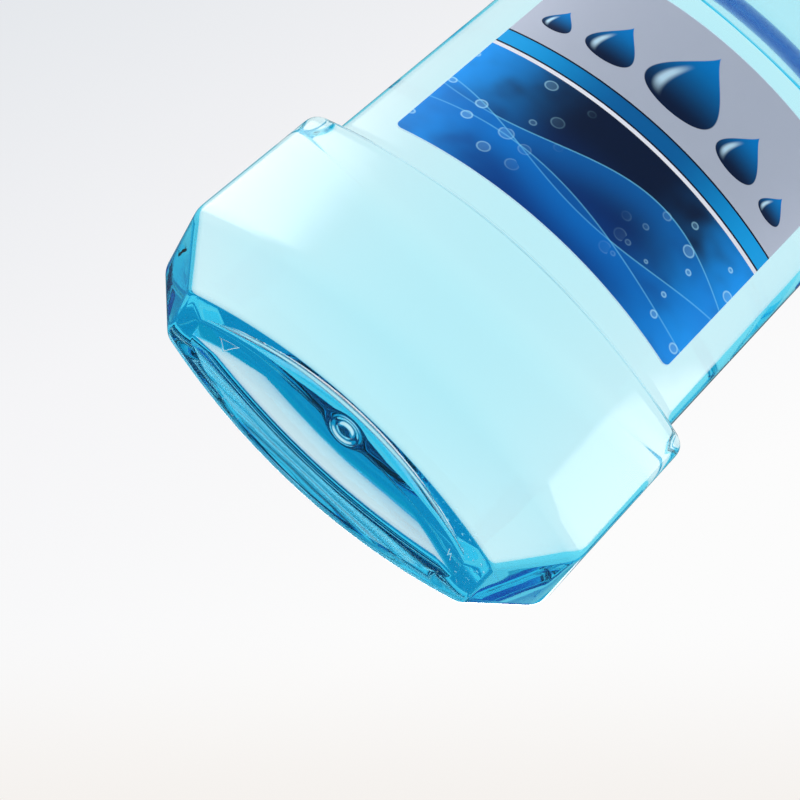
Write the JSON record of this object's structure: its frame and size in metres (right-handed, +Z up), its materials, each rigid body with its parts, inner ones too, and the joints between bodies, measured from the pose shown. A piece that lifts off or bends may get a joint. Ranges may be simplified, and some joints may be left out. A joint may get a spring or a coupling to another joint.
{
  "type": "mouthwash bottle",
  "caption": "Flat waisted mouthwash bottle with a curved front, filled with liquid, with film labels, a screw cap on a threaded neck and a clear dosing cup over the cap.",
  "frame": {"origin": "centre of the bottom outline, on the surface the bottle stands on", "axes": "+Z up along the neck, +X along the wide side, -Y out of the front label"},
  "size_m": [0.098, 0.046, 0.2227],
  "materials": {
    "clear_pet": "clear, glossy",
    "mouthwash": "clear blue liquid",
    "front_print": "glossy film with a silver and blue print",
    "back_print": "glossy film with a silver and blue print",
    "white_pp": "satin white",
    "foam": "matte",
    "clear_pp": "clear, slightly milky"
  },
  "bodies": {
    "bottle": {"bottle": "clear_pet", "mouthwash": "mouthwash", "front_label": "front_print", "back_label": "back_print", "tamper_band": "white_pp"},
    "liner": {"cap_liner": "foam"},
    "cap": {"screw_cap": "white_pp"},
    "cup": {"dosing_cup": "clear_pp"}
  },
  "joints": [
    {"name": "cap_rise", "type": "slide", "parent": "bottle", "child": "liner", "axis": [0, 0, 1], "range_m": [0, 0.006]},
    {"name": "cap_turn", "type": "hinge", "parent": "liner", "child": "cap", "pos_m": [0, 0, 0.2051], "axis": [0, 0, 1], "range_deg": [0, 540]},
    {"name": "cup_lift", "type": "slide", "parent": "cap", "child": "cup", "axis": [0, 0, 1], "range_m": [0, 0.03]}
  ],
  "couplings": [
    {"joint": "cap_rise", "follows": "cap_turn", "m_per_rad": 0.00063662}
  ]
}
